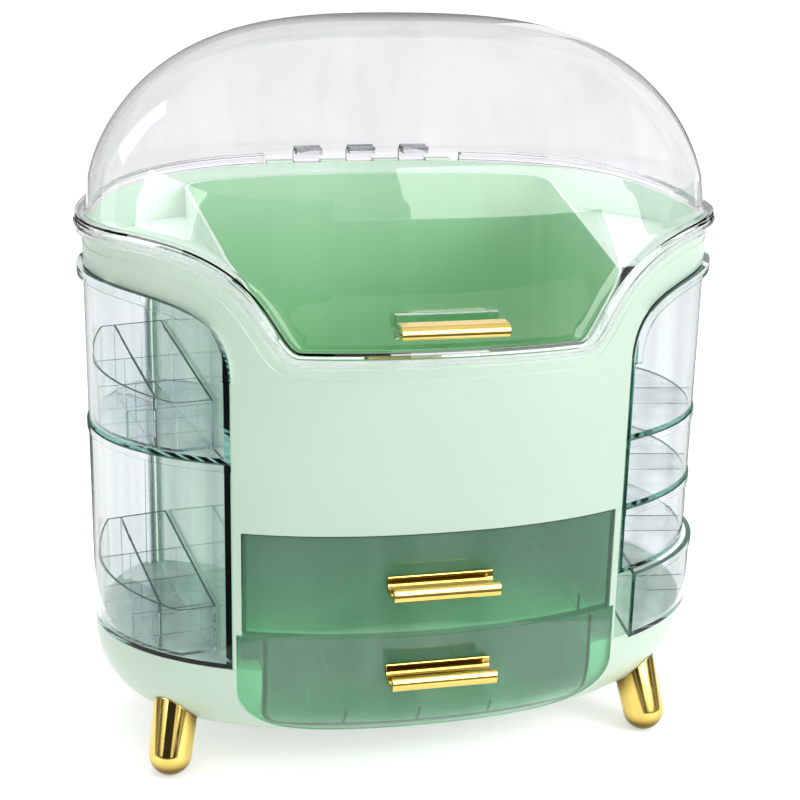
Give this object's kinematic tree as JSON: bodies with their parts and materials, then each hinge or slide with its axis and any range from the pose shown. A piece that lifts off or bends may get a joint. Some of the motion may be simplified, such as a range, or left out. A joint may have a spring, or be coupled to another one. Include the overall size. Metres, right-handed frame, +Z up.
{
  "type": "dustproof makeup organizer",
  "caption": "Oval makeup organizer with a domed lid, sliding drawers, swing-out side units with racks and trays, and splayed feet.",
  "frame": {"origin": "centre of the object's footprint box at floor level", "axes": "+Z up, -Y towards the drawers' pulls, +X towards the stacked trays"},
  "size_m": [0.3771, 0.2586, 0.4285],
  "materials": {
    "mint_plastic": "smooth satin mint plastic",
    "clear_plastic": "clear polished plastic",
    "tinted_plastic": "green tinted clear plastic",
    "gold_plate": "polished gold plating",
    "steel": "plain steel rod"
  },
  "bodies": {
    "housing": {"base_bowl": "mint_plastic", "body_shell": "mint_plastic", "top_tray": "mint_plastic", "bay_shelf": "mint_plastic", "lid_hinge_pin": "steel", "left_pivot_rod": "steel", "right_pivot_rod": "steel", "foot_front_left": "gold_plate", "foot_front_right": "gold_plate", "foot_rear_left": "gold_plate", "foot_rear_right": "gold_plate"},
    "lid": {"lid_dome": "clear_plastic", "lid_handle_bar": "gold_plate"},
    "upper_drawer": {"upper_drawer": "tinted_plastic", "upper_drawer_pull": "gold_plate"},
    "lower_drawer": {"lower_drawer": "tinted_plastic", "lower_drawer_pull": "gold_plate"},
    "left_upper": {"left_upper_unit": "clear_plastic", "left_upper_rack": "clear_plastic"},
    "left_lower": {"left_lower_unit": "clear_plastic", "left_lower_rack": "clear_plastic"},
    "tray_1": {"right_tray_1": "clear_plastic"},
    "tray_2": {"right_tray_2": "clear_plastic"},
    "tray_3": {"right_tray_3": "clear_plastic"},
    "tray_4": {"right_tray_4": "clear_plastic"}
  },
  "joints": [
    {"name": "lid_hinge", "type": "hinge", "parent": "housing", "child": "lid", "pos_m": [0, 0.12525, 0.325], "axis": [-1, 0, 0], "range_deg": [0, 100]},
    {"name": "upper_drawer_slide", "type": "slide", "parent": "housing", "child": "upper_drawer", "axis": [0, -1, 0], "range_m": [0, 0.13]},
    {"name": "lower_drawer_slide", "type": "slide", "parent": "housing", "child": "lower_drawer", "axis": [0, -1, 0], "range_m": [0, 0.13]},
    {"name": "left_upper_swing", "type": "hinge", "parent": "housing", "child": "left_upper", "pos_m": [-0.14405, 0.0728, 0.25], "axis": [0, 0, -1], "range_deg": [0, 85]},
    {"name": "left_lower_swing", "type": "hinge", "parent": "housing", "child": "left_lower", "pos_m": [-0.14405, 0.0728, 0.14], "axis": [0, 0, -1], "range_deg": [0, 85]},
    {"name": "tray_1_swing", "type": "hinge", "parent": "housing", "child": "tray_1", "pos_m": [0.14405, 0.0728, 0.245], "axis": [0, 0, 1], "range_deg": [0, 85]},
    {"name": "tray_2_swing", "type": "hinge", "parent": "housing", "child": "tray_2", "pos_m": [0.14405, 0.0728, 0.18], "axis": [0, 0, 1], "range_deg": [0, 85]},
    {"name": "tray_3_swing", "type": "hinge", "parent": "housing", "child": "tray_3", "pos_m": [0.14405, 0.0728, 0.137], "axis": [0, 0, 1], "range_deg": [0, 85]},
    {"name": "tray_4_swing", "type": "hinge", "parent": "housing", "child": "tray_4", "pos_m": [0.14405, 0.0728, 0.097], "axis": [0, 0, 1], "range_deg": [-3, 82]}
  ]
}
